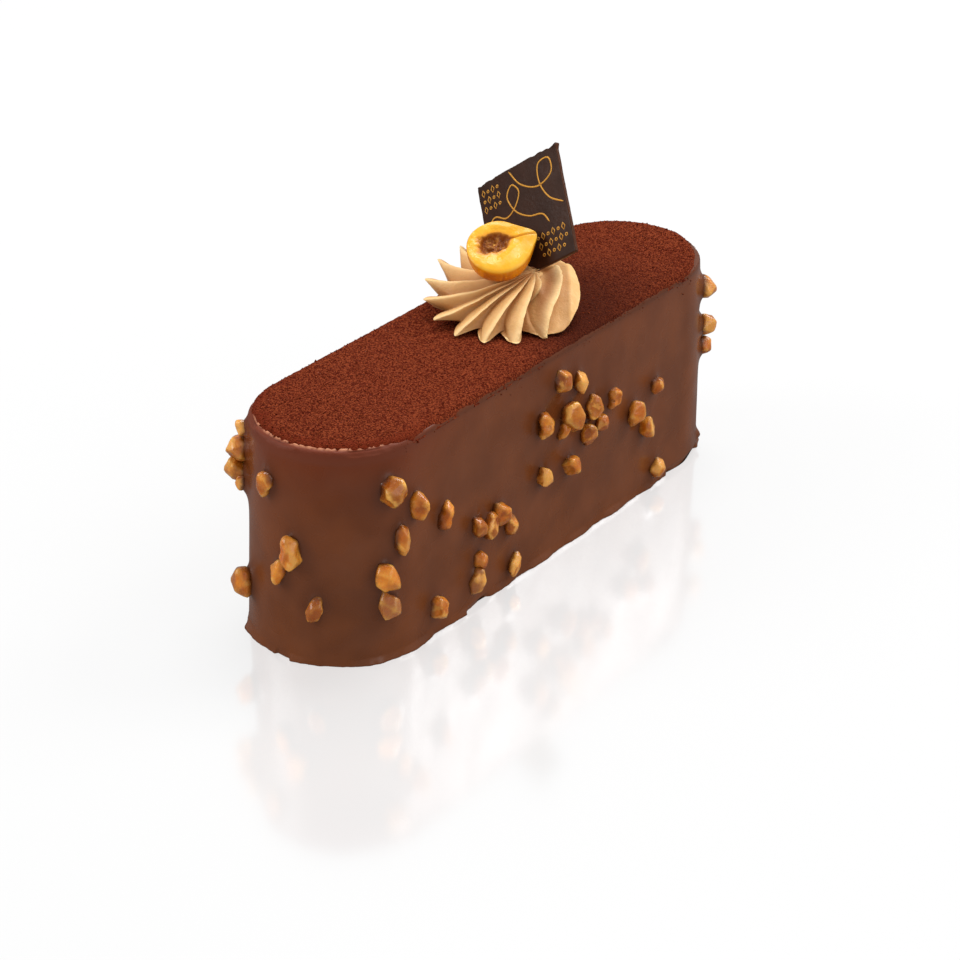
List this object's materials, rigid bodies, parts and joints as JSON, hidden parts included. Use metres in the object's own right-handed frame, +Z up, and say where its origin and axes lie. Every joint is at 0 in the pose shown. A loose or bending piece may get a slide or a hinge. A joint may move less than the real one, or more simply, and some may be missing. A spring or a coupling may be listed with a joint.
{
  "type": "chocolate praline cake",
  "caption": "Long glazed chocolate cake with round ends, chopped caramelised nuts in the glaze, cocoa on top, a piped cream rosette, half a hazelnut and a chocolate square.",
  "frame": {"origin": "middle of the flat base that the cake stands on", "axes": "+X along the cake's length, towards the end away from the viewer of the picture; -Y out of the long side that the picture shows; +Z up"},
  "size_m": [0.1328, 0.0431, 0.0769],
  "materials": {
    "glaze": "satin milk-chocolate glaze",
    "cocoa": "matt cocoa powder",
    "cream": "soft satin praline cream",
    "hazelnut": "glossy roasted kernel",
    "dark_chocolate": "smooth dark chocolate"
  },
  "bodies": {
    "root": {"cake_body": "glaze", "cocoa_top": "cocoa", "cream_rosette": "cream", "hazelnut_half": "hazelnut", "chocolate_square": "dark_chocolate"}
  },
  "joints": []
}
